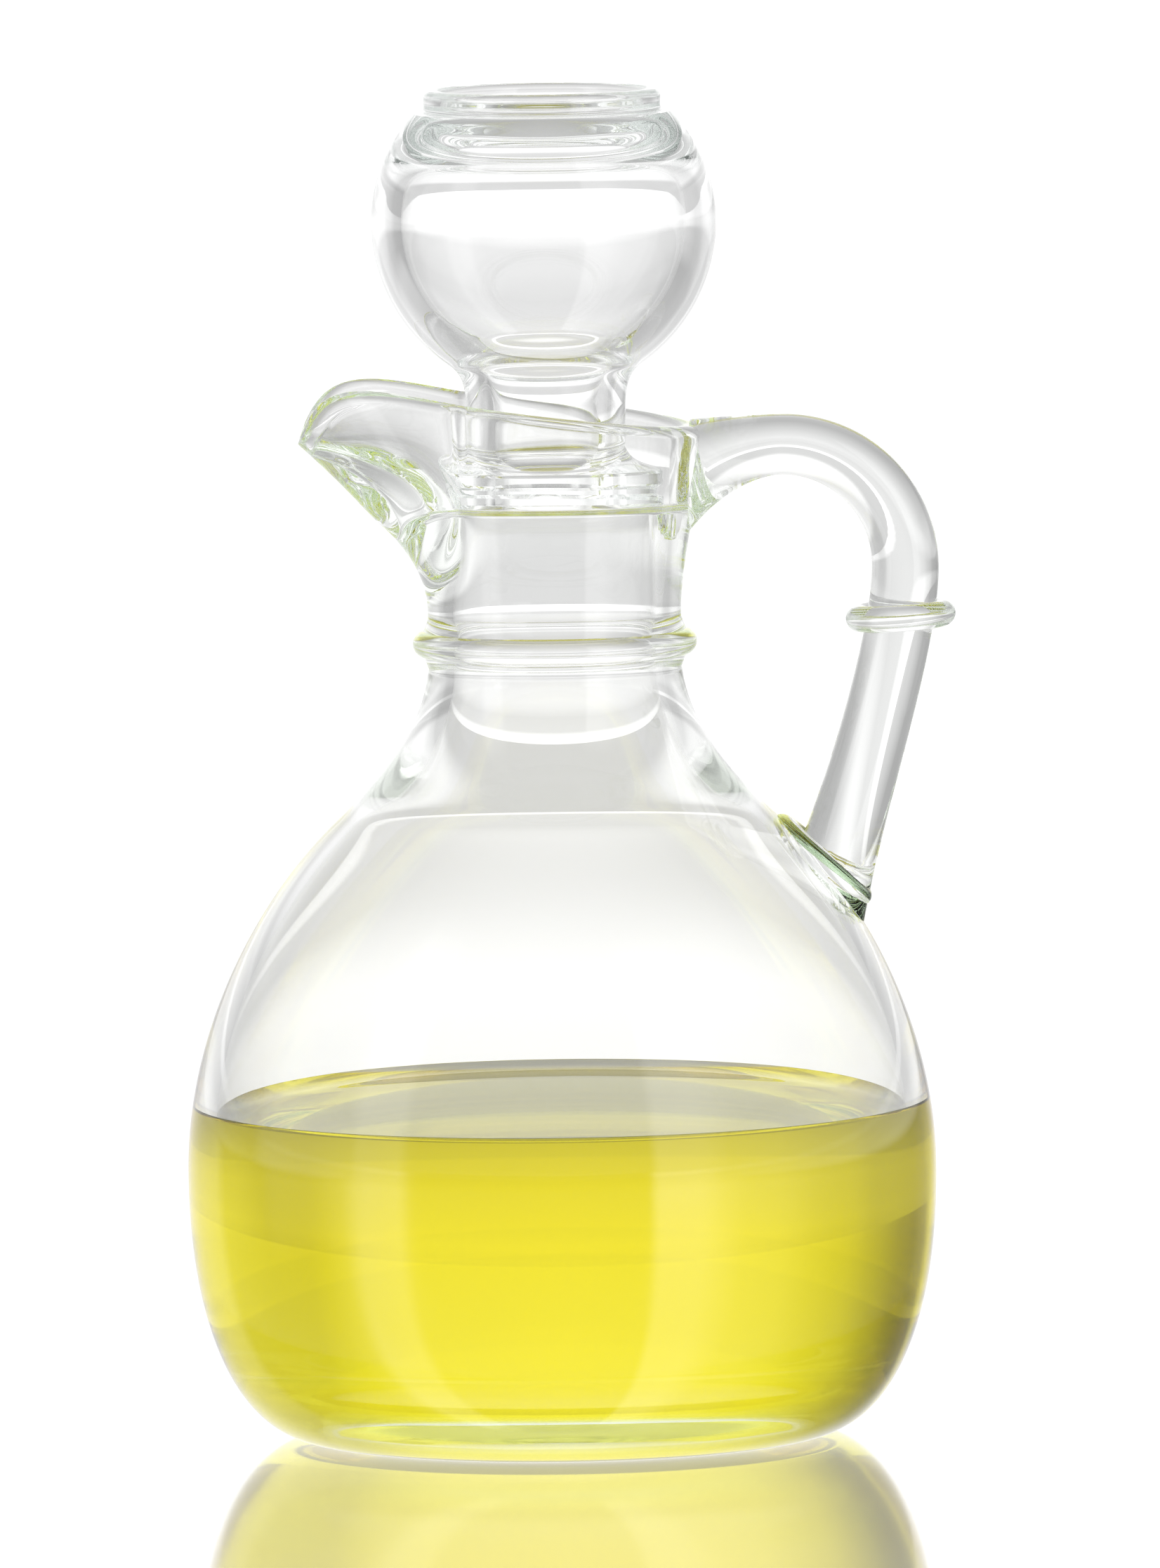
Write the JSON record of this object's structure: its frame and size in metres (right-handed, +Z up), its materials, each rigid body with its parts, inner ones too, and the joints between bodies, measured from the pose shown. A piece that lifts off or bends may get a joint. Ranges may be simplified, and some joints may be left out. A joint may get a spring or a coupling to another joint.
{
  "type": "oil cruet",
  "caption": "Clear glass cruet with a bulbous body, ringed neck, pulled pouring spout, loop handle and hollow ball stopper, part filled with yellow oil",
  "frame": {"origin": "middle of the flat base, on the axis of the body", "axes": "+Z up along the body's axis, spout towards -X, handle towards +X, +Y square to both"},
  "size_m": [0.0851, 0.0822, 0.148],
  "materials": {
    "bottle_glass": "clear pressed glass, faint green at thick edges",
    "stopper_glass": "clear pressed glass",
    "oil": "clear yellow vegetable oil"
  },
  "bodies": {
    "root": {"cruet_bottle": "bottle_glass", "stopper": "stopper_glass", "oil": "oil"}
  },
  "joints": []
}
